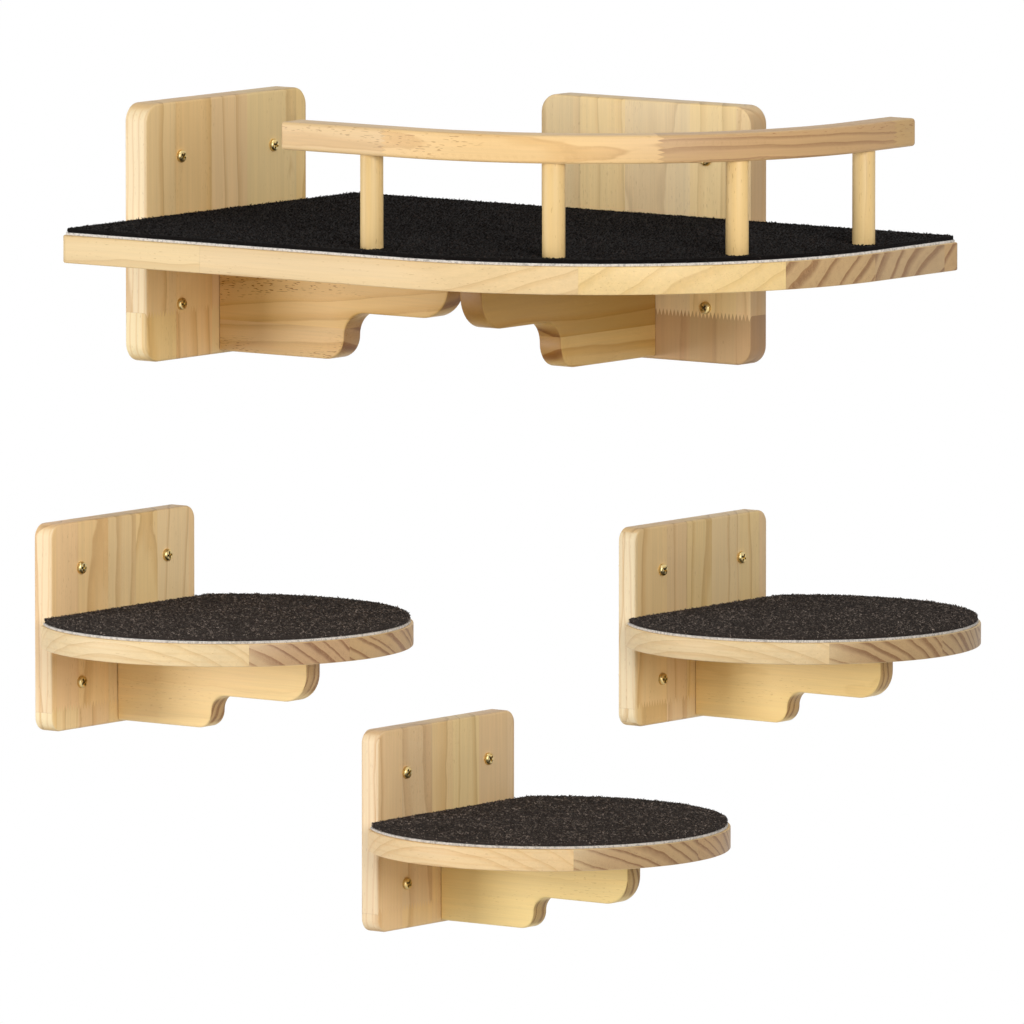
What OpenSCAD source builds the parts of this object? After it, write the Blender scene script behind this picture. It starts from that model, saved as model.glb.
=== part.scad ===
// Set of wall shelves for a cat: a corner perch with a guard rail, and three round steps.
// Millimetres, +Z up. The side wall is the plane x = 0 and the end wall is the plane y = 0.
// The origin is the corner where the walls meet, level with the foot of the perch's wall plates.

/* [Perch boards] */
// Thickness of the perch's boards
perch_board_t = 22; // [18:1:26]
// Length of the platform along the end wall
platform_length = 600; // [560:5:680]
// Depth of the platform along the side wall
platform_depth = 380; // [340:5:420]
// Radius of the platform's large front corner
platform_round_r = 268; // [200:2:290]
// Radius of the platform's other corners
platform_corner_r = 6; // [2:1:14]
// Height of the platform's top above the foot of the wall plates
platform_top = 111; // [105:1:130]

/* [Perch wall plates] */
// Width of a wall plate of the perch
perch_plate_w = 208; // [180:2:230]
// Height of a wall plate of the perch
perch_plate_h = 206; // [195:1:240]
// Corner radius of a wall plate of the perch
perch_plate_r = 15; // [6:1:24]
// Distance of the wall screws from the edges of a perch plate
perch_screw_inset = 44; // [36:1:56]
// Middle of the side wall's plate, measured from the corner
side_plate_at = 188; // [170:2:230]
// Middle of the end wall's plate, measured from the corner
end_plate_at = 314; // [300:2:340]

/* [Perch brackets] */
// Length of a bracket of the perch, out from its plate
perch_bracket_l = 230; // [200:2:236]
// Height of the bracket's foot above the foot of the plate
perch_bracket_foot = 2.5; // [1:0.5:8]
// Depth of the bracket's arm below the platform
perch_arm_depth = 48; // [36:1:56]
// Length of the bracket's lower lobe
perch_lobe_l = 126; // [90:2:150]
// Radius of the lobe's round nose
perch_lobe_r = 19; // [10:1:26]
// Radius of the arm's round tip
perch_tip_r = 27; // [10:1:34]

/* [Guard rail] */
// Height of the rail's board
rail_h = 22; // [18:1:28]
// Width of the rail, seen from above
rail_w = 26; // [22:1:34]
// Distance of the rail's centre line from the platform's edge
rail_inset = 20; // [16:1:32]
// Clear height between the carpet and the rail
rail_clear = 72; // [60:1:110]
// Overhang of the rail past the first post
rail_overhang = 80; // [40:1:120]
// Overhang of the rail past the last post
rail_tail = 52; // [24:1:60]
// Distance of the rail's end from the platform's back edge
rail_end_gap = 50; // [20:1:66]
// Diameter of a post
post_d = 18; // [14:0.5:21]
// Depth of the post's sockets in the platform and the rail
post_socket = 8; // [5:0.5:10]
// Place of the first post along the end wall
first_post_x = 316; // [290:2:340]
// Number of posts
post_count = 4; // [3:1:6]
// How much shorter each gap between posts is than the gap before it
post_taper = 14; // [0:1:16]

/* [Steps] */
// Thickness of a step's boards
step_board_t = 18; // [15:1:22]
// Diameter of the round tread
tread_d = 296; // [270:2:340]
// Distance from the wall plate's face to the middle of the tread
tread_reach = 103; // [95:1:125]
// Height of the tread's top above the foot of the plate
tread_top = 87; // [82:1:100]
// Width of a step's wall plate
step_plate_w = 184; // [165:1:200]
// Height of a step's wall plate
step_plate_h = 165; // [155:1:200]
// Corner radius of a step's wall plate
step_plate_r = 11; // [4:1:20]
// Distance of the wall screws from the edges of a step's plate
step_screw_inset = 37; // [30:1:48]

/* [Step brackets] */
// Length of a step's bracket, out from its plate
step_bracket_l = 190; // [180:2:230]
// Height of the bracket's foot above the foot of the plate
step_bracket_foot = 2; // [1:0.5:6]
// Depth of the bracket's arm below the tread
step_arm_depth = 40; // [30:1:46]
// Length of the bracket's lower lobe
step_lobe_l = 95; // [80:1:125]
// Radius of the lobe's round nose
step_lobe_r = 14; // [8:1:20]
// Radius of the arm's round tip
step_tip_r = 23; // [8:1:28]

/* [Places of the steps] */
// Middle of the left step's plate along the side wall, and the height of its foot
left_step_at = [-317, -284]; // [-700:1:700]
// Middle of the right step's plate along the side wall, and the height of its foot
right_step_at = [456, -358]; // [-700:1:700]
// Middle of the low step's plate along the side wall, and the height of its foot
low_step_at = [107, -491]; // [-700:1:700]

/* [Carpet] */
// Thickness of the carpet's woven backing
backing_t = 2; // [1:0.5:3]
// Thickness of the carpet's pile
pile_t = 5; // [3:0.5:9]
// Distance of the carpet from the edges of the board
carpet_inset = 2; // [1:0.5:6]
// Clearance between the carpet and a post
carpet_post_gap = 0.5; // [0.2:0.1:1]

/* [Wall screws] */
// Diameter of the pan head
wall_head_d = 10; // [8:0.5:12]
// Height of the pan head
wall_head_h = 3.2; // [2.4:0.1:4]
// Diameter of the smooth shank in the plate
wall_shank_d = 5; // [4.5:0.1:6]
// Diameter of the threaded end in the wall
wall_thread_d = 4.4; // [3.6:0.1:4.4]
// Length of the threaded end in the wall
wall_thread_l = 22; // [18:1:50]
// Clearance of the plate's holes around the shank
wall_screw_gap = 0.25; // [0.1:0.05:0.5]

/* [Assembly screws] */
// Diameter of the countersunk head
joint_head_d = 8; // [7:0.5:9]
// Height of the countersunk head
joint_head_h = 3; // [2.4:0.1:3.6]
// Diameter of the shank
joint_shank_d = 4; // [3:0.1:4.5]
// Length of the screws from a plate into its bracket
plate_screw_l = 60; // [50:1:64]
// Length of the screws from a platform or tread into its bracket
deck_screw_l = 45; // [38:1:50]
// Length of the screws from the platform into a post
post_screw_l = 45; // [35:1:60]
// Clearance around an assembly screw
joint_gap = 0.08; // [0.05:0.01:0.15]
// Distance of a plate's bracket screws from the bracket's foot and top
plate_screw_edge = 20; // [16:1:26]
// Places of a bracket's deck screws, measured from the plate's face
deck_screws_at = [50, 150]; // [48:1:165]

/* [Hidden] */
$fn = 96;
overcut = 1;
screw_tip_l = 5;
screw_tip_d = 0.6;
recess_l = 4.6;
recess_w = 1;
recess_depth = 1.7;

pine = "#e6c896";
pine_pale = "#edd5a6";
pine_warm = "#dfba82";
backing_white = "#ded6cb";
pile_black = "#1c1817";
pile_charcoal = "#38322f";
yellow_zinc = "#b8974f";

perch_under = platform_top - perch_board_t;
tread_under = tread_top - step_board_t;
carpet_t = backing_t + pile_t;
rail_foot = platform_top + carpet_t + rail_clear;

// The platform lies against the faces of both plates.
platform_x = perch_board_t;
platform_y = -perch_board_t - platform_depth;
platform_right = platform_x + platform_length;
round_at = [platform_right - platform_round_r, platform_y + platform_round_r];

// The rail's centre line: straight along the front, round the corner, straight along the right.
rail_round_r = platform_round_r - rail_inset;
rail_front_y = platform_y + rail_inset;
rail_right_x = platform_right - rail_inset;
rail_arc_l = rail_round_r * PI / 2;
rail_start_x = first_post_x - rail_overhang;
rail_front_l = round_at[0] - rail_start_x;
rail_side_l = -perch_board_t - rail_end_gap - round_at[1];
rail_l = rail_front_l + rail_arc_l + rail_side_l;

// Runs of the posts along the centre line: the gaps between them shrink evenly around their mean.
post_mean_gap = (rail_l - rail_overhang - rail_tail) / (post_count - 1);
post_runs = [
    for (i = [0 : post_count - 1])
        rail_overhang + i * (post_mean_gap + post_taper * (post_count - 1 - i) / 2)
];

perch_plate_screws_z = [perch_bracket_foot + plate_screw_edge, perch_under - plate_screw_edge];
step_plate_screws_z = [step_bracket_foot + plate_screw_edge, tread_under - plate_screw_edge];

STEPS = [["left_step", left_step_at], ["right_step", right_step_at], ["low_step", low_step_at]];
STEP_PIECES = [
    "plate", "bracket", "tread", "carpet_backing", "carpet_pile",
    "wall_screws", "bracket_screws", "tread_screws"
];
PERCH_PIECES = [
    "perch_side_plate", "perch_end_plate", "perch_side_bracket", "perch_end_bracket",
    "perch_platform", "perch_carpet_backing", "perch_carpet_pile", "guard_rail",
    "perch_side_wall_screws", "perch_end_wall_screws",
    "perch_side_bracket_screws", "perch_end_bracket_screws",
    "perch_platform_screws", "rail_post_screws"
];
POSTS = [for (i = [1 : post_count]) str("rail_post_", i)];

// The point of the rail's centre line at a run from its start
function rail_point(run) =
    run <= rail_front_l ? [rail_start_x + run, rail_front_y]
    : run <= rail_front_l + rail_arc_l ? rail_arc_point((run - rail_front_l) / rail_round_r * 180 / PI)
    : [rail_right_x, round_at[1] + run - rail_front_l - rail_arc_l];

// The point of the rail's round corner at an angle from its start
function rail_arc_point(angle) =
    [round_at[0] + rail_round_r * sin(angle), round_at[1] - rail_round_r * cos(angle)];

// Frames of a wall plate: +X leads out from the wall, and the plate's foot is at z = 0.
module at_side_plate() translate([0, -side_plate_at, 0]) children();
module at_end_plate() translate([end_plate_at, 0, 0]) rotate([0, 0, -90]) children();
module at_step(place) translate([0, place[0], place[1]]) children();

// Draws a child outline of the plane across the wall as a board of thickness t, its back on the wall.
module stand_flat(t) rotate([90, 0, 90]) linear_extrude(t) children();

// Draws a child outline of the upright plane square to the wall as a board of thickness t.
module stand_out(t) translate([0, t / 2, 0]) rotate([90, 0, 0]) linear_extrude(t) children();

// What a rounding of radius r takes off a corner at the origin of a board in +X +Y
module corner_waste(r) difference() {
    translate([-overcut, -overcut]) square(r + overcut);
    translate([r, r]) circle(r);
}

// A rectangle in +X +Y with four equal round corners
module rounded_rect(w, h, r) {
    translate([r, 0]) square([w - 2 * r, h]);
    translate([0, r]) square([w, h - 2 * r]);
    for (x = [r, w - r], y = [r, h - r]) translate([x, y]) circle(r);
}

// Places its children at the four wall screws of a plate, on the plate's face.
module at_wall_screws(w, h, t, inset) {
    for (y = [inset - w / 2, w / 2 - inset], z = [inset, h - inset]) {
        translate([t, y, z]) rotate([0, 90, 0]) children();
    }
}

// Places its children at the bracket screws of a plate, on the plate's back.
module at_plate_screws(heights) for (z = heights) translate([0, 0, z]) rotate([0, 90, 0]) children();

// Places its children at the deck screws of a bracket, on the deck's top.
module at_deck_screws(plate_t, top) {
    for (n = deck_screws_at) translate([plate_t + n, 0, top]) rotate([180, 0, 0]) children();
}

// Places its children at the foot of each post's centre line, at height z.
module at_posts(z) for (run = post_runs) translate(concat(rail_point(run), z)) children();

// Cross recess of a screw, sunk into a head whose face is at z = 0
module cross_recess() {
    for (turn = [0, 90]) rotate(turn) cube([recess_l, recess_w, 2 * recess_depth], center = true);
}

// Pan head screw along Z, with the head's seat at z = 0 and the threaded end behind a plate of thickness t
module wall_screw(t) {
    dome_r = (pow(wall_head_d / 2, 2) + pow(wall_head_h, 2)) / (2 * wall_head_h);
    difference() {
        intersection() {
            cylinder(h = wall_head_h, d = wall_head_d);
            translate([0, 0, wall_head_h - dome_r]) sphere(dome_r);
        }
        translate([0, 0, wall_head_h]) cross_recess();
    }
    translate([0, 0, -t]) cylinder(h = t, d = wall_shank_d);
    translate([0, 0, -t - wall_thread_l]) cylinder(h = wall_thread_l, d = wall_thread_d);
    translate([0, 0, -t - wall_thread_l - screw_tip_l])
        cylinder(h = screw_tip_l, d1 = screw_tip_d, d2 = wall_thread_d);
}

// Countersunk screw along +Z, with the head's flat face at z = 0
module joint_screw(l) difference() {
    union() {
        cylinder(h = joint_head_h, d1 = joint_head_d, d2 = joint_shank_d);
        cylinder(h = l - screw_tip_l, d = joint_shank_d);
        translate([0, 0, l - screw_tip_l]) cylinder(h = screw_tip_l, d1 = joint_shank_d, d2 = screw_tip_d);
    }
    cross_recess();
}

// The hole for a countersunk screw, with its countersink open at z = 0
module joint_hole(l) {
    cylinder(h = joint_head_h, d1 = joint_head_d + 2 * joint_gap, d2 = joint_shank_d + 2 * joint_gap);
    translate([0, 0, -overcut]) cylinder(h = overcut, d = joint_head_d + 2 * joint_gap);
    cylinder(h = l + joint_gap, d = joint_shank_d + 2 * joint_gap);
}

// Wall plate with holes for its wall screws and countersunk holes for its bracket screws
module wall_plate(w, h, t, r, inset, heights) difference() {
    stand_flat(t) translate([-w / 2, 0]) rounded_rect(w, h, r);
    at_wall_screws(w, h, t, inset) {
        translate([0, 0, -t - overcut])
            cylinder(h = t + 2 * overcut, d = wall_shank_d + 2 * wall_screw_gap);
    }
    at_plate_screws(heights) joint_hole(plate_screw_l);
}

// Side of a bracket: an arm with a round tip over a shorter lobe, joined by an S curve
module bracket_side(l, top, foot, arm_depth, lobe_l, lobe_r, tip_r) {
    arm_foot = top - arm_depth;
    cove_r = arm_foot - foot - lobe_r;
    difference() {
        translate([0, arm_foot]) square([l, arm_depth]);
        translate([l, arm_foot]) mirror([1, 0]) corner_waste(tip_r);
    }
    difference() {
        translate([0, foot]) square([lobe_l, arm_foot - foot + arm_depth / 2]);
        translate([lobe_l, foot]) mirror([1, 0]) corner_waste(lobe_r);
    }
    difference() {
        translate([lobe_l - cove_r, arm_foot - cove_r]) square([2 * cove_r, cove_r + arm_depth / 2]);
        translate([lobe_l + cove_r, arm_foot - cove_r]) circle(cove_r);
    }
}

// Bracket under a deck, with pilot holes for the screws from its plate and from the deck
module bracket(plate_t, t, deck_top, heights) difference() {
    translate([plate_t, 0, 0]) stand_out(t) children();
    at_plate_screws(heights) joint_hole(plate_screw_l);
    at_deck_screws(plate_t, deck_top) joint_hole(deck_screw_l);
}

module perch_plate() color(pine) {
    wall_plate(perch_plate_w, perch_plate_h, perch_board_t, perch_plate_r, perch_screw_inset,
        perch_plate_screws_z);
}

module perch_bracket() color(pine_warm) {
    bracket(perch_board_t, perch_board_t, platform_top, perch_plate_screws_z) {
        bracket_side(perch_bracket_l, perch_under, perch_bracket_foot, perch_arm_depth, perch_lobe_l,
            perch_lobe_r, perch_tip_r);
    }
}

module perch_wall_screws() color(yellow_zinc) {
    at_wall_screws(perch_plate_w, perch_plate_h, perch_board_t, perch_screw_inset)
        wall_screw(perch_board_t);
}

module perch_bracket_screws() color(yellow_zinc) {
    at_plate_screws(perch_plate_screws_z) joint_screw(plate_screw_l);
}

// The platform's outline, drawn in by an inset: one large round corner and three small ones
module platform_outline(inset = 0) {
    w = platform_length - 2 * inset;
    h = platform_depth - 2 * inset;
    translate([platform_x + inset, platform_y + inset]) difference() {
        square([w, h]);
        translate([w, 0]) mirror([1, 0]) corner_waste(platform_round_r - inset);
        corner_waste(platform_corner_r);
        translate([0, h]) mirror([0, 1]) corner_waste(platform_corner_r);
        translate([w, h]) rotate(180) corner_waste(platform_corner_r);
    }
}

module perch_platform() color(pine_pale) difference() {
    translate([0, 0, perch_under]) linear_extrude(perch_board_t) platform_outline();
    at_posts(platform_top - post_socket) cylinder(h = post_socket + overcut, d = post_d + 2 * joint_gap);
    at_posts(perch_under) joint_hole(post_screw_l);
    at_side_plate() at_deck_screws(perch_board_t, platform_top) joint_hole(deck_screw_l);
    at_end_plate() at_deck_screws(perch_board_t, platform_top) joint_hole(deck_screw_l);
}

// One layer of the perch's carpet, cut out around the posts
module perch_carpet_layer(z, t) difference() {
    translate([0, 0, z]) linear_extrude(t) platform_outline(carpet_inset);
    at_posts(z - overcut) cylinder(h = t + 2 * overcut, d = post_d + 2 * carpet_post_gap);
}

module perch_carpet_backing() color(backing_white) perch_carpet_layer(platform_top, backing_t);

module perch_carpet_pile() color(pile_black) perch_carpet_layer(platform_top + backing_t, pile_t);

module perch_platform_screws() color(yellow_zinc) {
    at_side_plate() at_deck_screws(perch_board_t, platform_top) joint_screw(deck_screw_l);
    at_end_plate() at_deck_screws(perch_board_t, platform_top) joint_screw(deck_screw_l);
}

// The rail seen from above: two straight bars joined by a quarter ring
module rail_outline() {
    translate([rail_start_x, rail_front_y - rail_w / 2]) square([rail_front_l, rail_w]);
    translate([rail_right_x - rail_w / 2, round_at[1]]) square([rail_w, rail_side_l]);
    translate(round_at) intersection() {
        difference() {
            circle(rail_round_r + rail_w / 2);
            circle(rail_round_r - rail_w / 2);
        }
        translate([0, -platform_round_r]) square(platform_round_r);
    }
}

module guard_rail() color(pine_pale) difference() {
    translate([0, 0, rail_foot]) linear_extrude(rail_h) rail_outline();
    at_posts(rail_foot - overcut) cylinder(h = post_socket + overcut, d = post_d + 2 * joint_gap);
}

// One post, seated in the platform and in the rail, with a pilot hole for its screw
module rail_post(run) color(pine) difference() {
    translate(concat(rail_point(run), platform_top - post_socket))
        cylinder(h = carpet_t + rail_clear + 2 * post_socket, d = post_d);
    translate(concat(rail_point(run), perch_under)) joint_hole(post_screw_l);
}

module rail_post_screws() color(yellow_zinc) at_posts(perch_under) joint_screw(post_screw_l);

module step_plate() color(pine) {
    wall_plate(step_plate_w, step_plate_h, step_board_t, step_plate_r, step_screw_inset,
        step_plate_screws_z);
}

module step_bracket() color(pine_warm) {
    bracket(step_board_t, step_board_t, tread_top, step_plate_screws_z) {
        bracket_side(step_bracket_l, tread_under, step_bracket_foot, step_arm_depth, step_lobe_l,
            step_lobe_r, step_tip_r);
    }
}

// The tread's outline, drawn in by an inset: a round with a straight back against the plate
module tread_outline(inset = 0) intersection() {
    translate([step_board_t + tread_reach, 0]) circle(d = tread_d - 2 * inset);
    translate([step_board_t + inset, -tread_d]) square(2 * tread_d);
}

module step_tread() color(pine_pale) difference() {
    translate([0, 0, tread_under]) linear_extrude(step_board_t) tread_outline();
    at_deck_screws(step_board_t, tread_top) joint_hole(deck_screw_l);
}

module step_carpet_backing() color(backing_white) {
    translate([0, 0, tread_top]) linear_extrude(backing_t) tread_outline(carpet_inset);
}

module step_carpet_pile() color(pile_charcoal) {
    translate([0, 0, tread_top + backing_t]) linear_extrude(pile_t) tread_outline(carpet_inset);
}

module step_wall_screws() color(yellow_zinc) {
    at_wall_screws(step_plate_w, step_plate_h, step_board_t, step_screw_inset)
        wall_screw(step_board_t);
}

module step_bracket_screws() color(yellow_zinc) {
    at_plate_screws(step_plate_screws_z) joint_screw(plate_screw_l);
}

module step_tread_screws() color(yellow_zinc) {
    at_deck_screws(step_board_t, tread_top) joint_screw(deck_screw_l);
}

at_side_plate() perch_plate();  // perch_side_plate
at_end_plate() perch_plate();  // perch_end_plate
at_side_plate() perch_bracket();  // perch_side_bracket
at_end_plate() perch_bracket();  // perch_end_bracket
perch_platform();
perch_carpet_backing();
perch_carpet_pile();
guard_rail();
at_side_plate() perch_wall_screws();  // perch_side_wall_screws
at_end_plate() perch_wall_screws();  // perch_end_wall_screws
at_side_plate() perch_bracket_screws();  // perch_side_bracket_screws
at_end_plate() perch_bracket_screws();  // perch_end_bracket_screws
perch_platform_screws();
rail_post_screws();
for (i = [0 : post_count - 1]) {
    rail_post(post_runs[i]);
}
for (s = STEPS) at_step(s[1]) {
    step_plate();
    step_bracket();
    step_tread();
    step_carpet_backing();
    step_carpet_pile();
    step_wall_screws();
    step_bracket_screws();
    step_tread_screws();
}
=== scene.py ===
"""Cat wall shelf: a pine corner perch with a guard rail, and three round steps, all with carpeted tops."""
import math
from dataclasses import dataclass, replace

import bmesh
import bpy
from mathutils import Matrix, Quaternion, Vector


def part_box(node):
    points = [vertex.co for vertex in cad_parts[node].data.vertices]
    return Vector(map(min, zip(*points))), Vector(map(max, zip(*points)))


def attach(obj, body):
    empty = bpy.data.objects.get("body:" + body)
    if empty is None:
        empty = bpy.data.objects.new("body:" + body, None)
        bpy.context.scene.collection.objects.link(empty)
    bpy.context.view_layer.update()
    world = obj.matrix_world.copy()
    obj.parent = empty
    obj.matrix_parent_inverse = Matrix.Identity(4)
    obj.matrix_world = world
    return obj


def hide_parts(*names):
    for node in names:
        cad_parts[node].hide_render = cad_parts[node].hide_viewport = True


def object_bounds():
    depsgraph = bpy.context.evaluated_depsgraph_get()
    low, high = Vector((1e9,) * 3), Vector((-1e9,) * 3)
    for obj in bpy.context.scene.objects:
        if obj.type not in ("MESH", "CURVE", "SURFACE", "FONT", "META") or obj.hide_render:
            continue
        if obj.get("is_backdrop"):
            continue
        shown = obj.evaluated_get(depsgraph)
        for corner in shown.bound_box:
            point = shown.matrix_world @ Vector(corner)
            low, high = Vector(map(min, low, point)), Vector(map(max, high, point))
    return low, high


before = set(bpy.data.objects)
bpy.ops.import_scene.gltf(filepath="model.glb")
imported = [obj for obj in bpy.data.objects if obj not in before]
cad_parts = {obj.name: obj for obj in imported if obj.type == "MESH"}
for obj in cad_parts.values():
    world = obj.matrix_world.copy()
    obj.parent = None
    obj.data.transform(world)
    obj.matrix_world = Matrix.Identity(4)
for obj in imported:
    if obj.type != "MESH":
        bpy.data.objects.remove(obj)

bl_info = {
    "name": "Cat wall shelf",
    "version": (1, 0, 0),
    "blender": (4, 5, 0),
    "location": "View3D > Sidebar > Cat shelf",
    "description": "Builds the boards, rail, carpets and screws of a set of wall shelves for a cat",
    "category": "Add Mesh",
}

CAD_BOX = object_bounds()
STEPS = [node.removesuffix("_tread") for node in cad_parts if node.endswith("_tread")]
POSTS = [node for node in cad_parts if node.startswith("rail_post_") and node[-1].isdigit()]
PERCH_SIDES = ["perch_side", "perch_end"]
AXES = (Vector((1, 0, 0)), Vector((0, 1, 0)), Vector((0, 0, 1)))
OUT_X, OUT_Y, UP = AXES
MM = 1000.0  # Millimetres in a metre
SAME = 1e-6  # Points closer than this are one
OVERCUT = 0.001  # How far a cutter stands proud of the wood it enters
PARALLEL = 0.999  # Cosine past which an edge runs along an axis
SQUARE = 0.9  # Cosine past which a face looks along an axis
CURVE_STEPS, LARGE_CORNER_STEPS, SMALL_CORNER_STEPS = 12, 64, 5  # Segments of rounded corners
TREAD_SIDES, POST_SIDES, SCREW_SIDES = 168, 48, 28  # Segments of round pieces
SENSOR_MM = 36.0
PICTURE_PIXELS = 1024
PIXELS_PER_METRE = 1250.0


# Settings that a user would change

def number(name, description, default, **kind):
    """A number for a property group."""
    return bpy.props.FloatProperty(name=name, description=description, default=default, **kind)


def length(name, description, default):
    """A size in metres for a property group."""
    return number(name, description, default, unit="LENGTH", precision=4)


def angle(name, description, degrees):
    """An angle for a property group."""
    return number(name, description, math.radians(degrees), subtype="ANGLE")


def colour(name, description, default):
    """A linear colour for a property group."""
    return bpy.props.FloatVectorProperty(
        name=name, description=description, default=default, subtype="COLOR", size=3, min=0.0, max=1.0
    )


class BoardSizes(bpy.types.PropertyGroup):
    """Roundings of the plates, decks and rail."""

    perch_plate_corner: length("Perch plate corner", "Corner radius of the perch's wall plates", 0.015)
    step_plate_corner: length("Step plate corner", "Corner radius of the steps' wall plates", 0.011)
    platform_corner: length("Platform corner", "Radius of the platform's large front corner", 0.268)
    platform_small_corner: length("Platform small corner", "Radius of the platform's other corners", 0.006)
    plate_edge: length("Plate edge", "Rounding along the edges of the plates", 0.0020)
    bracket_edge: length("Bracket edge", "Rounding along the edges of the brackets", 0.0016)
    deck_edge: length("Deck edge", "Rounding along the edges of the platform and treads", 0.0011)
    rail_edge: length("Rail edge", "Rounding along the edges of the guard rail", 0.0028)
    rail_width: length("Rail width", "Width of the guard rail seen from above", 0.026)
    post_edge: length("Post edge", "Chamfer at the ends of the rail posts", 0.0015)


class BracketSizes(bpy.types.PropertyGroup):
    """Curve of the brackets: a lobe at the plate, a cove and a thinner arm with a round tip."""

    perch_drop: length("Perch lobe drop", "Height of the perch bracket's lobe below its arm", 0.0385)
    perch_lobe: length("Perch lobe length", "Length of the perch bracket's lobe", 0.126)
    perch_nose: length("Perch nose", "Radius of the lobe's nose on a perch bracket", 0.019)
    perch_cove: length("Perch cove", "Radius of the hollow under a perch bracket's arm", 0.0195)
    perch_tip: length("Perch tip", "Radius of a perch bracket's tip", 0.027)
    step_drop: length("Step lobe drop", "Height of the step bracket's lobe below its arm", 0.027)
    step_lobe: length("Step lobe length", "Length of the step bracket's lobe", 0.095)
    step_nose: length("Step nose", "Radius of the lobe's nose on a step bracket", 0.014)
    step_cove: length("Step cove", "Radius of the hollow under a step bracket's arm", 0.013)
    step_tip: length("Step tip", "Radius of a step bracket's tip", 0.023)


class PineColours(bpy.types.PropertyGroup):
    """Colours of the lacquered pine."""

    pale: colour("Early wood", "Pale wood between the growth rings", (0.81, 0.572, 0.28))
    amber: colour("Late wood", "Amber end of each growth ring, on the long faces", (0.62, 0.35, 0.116))
    # Painted highlight: a pale tint laid on the narrow sides of plates and treads.
    cream: colour("Sanded sides", "Bleached narrow sides of plates and treads", (0.81, 0.665, 0.432))
    tan: colour("End grain", "Wood between the rings where a board is cut across", (0.484, 0.298, 0.14))
    brown: colour("End grain rings", "Late wood where a board is cut across", (0.228, 0.102, 0.039))
    line: colour("Ring line", "Thin dark line where a growth ring ends", (0.335, 0.158, 0.051))
    # Tint of darker lengths: a random real tone, and painted shade on the end plate's lower length, the
    # rail's far length and the end bracket.
    stain: colour("Darker lengths", "Tint of the darker lengths of wood", (0.60, 0.51, 0.40))
    fleck: colour("Flecks", "Short brown resin flecks along the grain", (0.372, 0.177, 0.056))


class CarpetLook(bpy.types.PropertyGroup):
    """Sizes and colours of the carpets."""

    margin: length("Carpet margin", "Distance of a carpet from the edge of its board", 0.002)
    pile_margin: length("Pile margin", "Distance of the pile from the edge of its backing", 0.0012)
    pile_cover: length("Pile cover", "Height that the tufts add to the pile's slab", 0.0017)
    tuft_length: length("Tuft length", "Length of one tuft of the pile", 0.0019)
    tuft_radius: length("Tuft radius", "Radius of a tuft at its foot", 0.0006)
    perch_spacing: length("Perch tuft spacing", "Least distance between tufts on the perch", 0.0016)
    step_spacing: length("Step tuft spacing", "Least distance between tufts on the steps", 0.0011)
    post_gap: length("Post gap", "Gap between a carpet and a rail post", 0.0005)
    backing: colour("Backing", "Pale woven backing that shows at the rim", (0.74, 0.69, 0.63))
    black: colour("Black pile", "Pile of the perch's carpet", (0.0055, 0.0042, 0.0038))
    black_speck: colour("Black specks", "Lighter fibres in the perch's carpet", (0.045, 0.034, 0.029))
    charcoal: colour("Charcoal pile", "Pile of the steps' carpets", (0.036, 0.0285, 0.0245))
    charcoal_speck: colour("Charcoal specks", "Lighter fibres in the steps' carpets", (0.31, 0.25, 0.21))


class ScrewLook(bpy.types.PropertyGroup):
    """Sizes and colours of the yellow zinc screws."""

    wall_head: length("Pan head radius", "Radius of a wall screw's pan head", 0.005)
    wall_height: length("Pan head height", "Height of a wall screw's pan head", 0.0032)
    wall_shank: length("Wall shank radius", "Radius of a wall screw's smooth shank", 0.0025)
    wall_core: length("Wall core radius", "Radius of a wall screw between its threads", 0.0017)
    wall_hole: length("Wall hole radius", "Radius of a plate's hole for a wall screw", 0.00275)
    joint_head: length("Countersunk head radius", "Radius of an assembly screw's head", 0.004)
    joint_shank: length("Assembly shank radius", "Radius of an assembly screw's shank", 0.002)
    joint_core: length("Assembly core radius", "Radius of an assembly screw between its threads", 0.0014)
    joint_depth: length("Countersink depth", "Depth of an assembly screw's countersink", 0.003)
    post_smooth: length("Post screw shank", "Length of a post screw's smooth shank", 0.012)
    point: length("Screw point", "Length of a screw's tapered point", 0.004)
    recess: length("Recess arm", "Length of one arm of the cross recess", 0.0031)
    recess_width: length("Recess width", "Width of the cross recess", 0.0018)
    recess_depth: length("Recess depth", "Depth of the cross recess", 0.0021)
    pitch: length("Thread pitch", "Rise of the thread in one turn", 0.0019)
    gap: length("Screw clearance", "Clearance around an assembly screw", 0.0002)
    zinc: colour("Yellow zinc", "Plated surface of the screws", (0.72, 0.53, 0.22))
    zinc_green: colour("Zinc tarnish", "Greenish patches of the plating", (0.60, 0.49, 0.25))
    # Painted shade: a dark tint inside the cross recess that stands in for the shade there.
    recess_shade: colour("Recess grime", "Dark finish inside the cross recess", (0.035, 0.028, 0.018))


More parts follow.
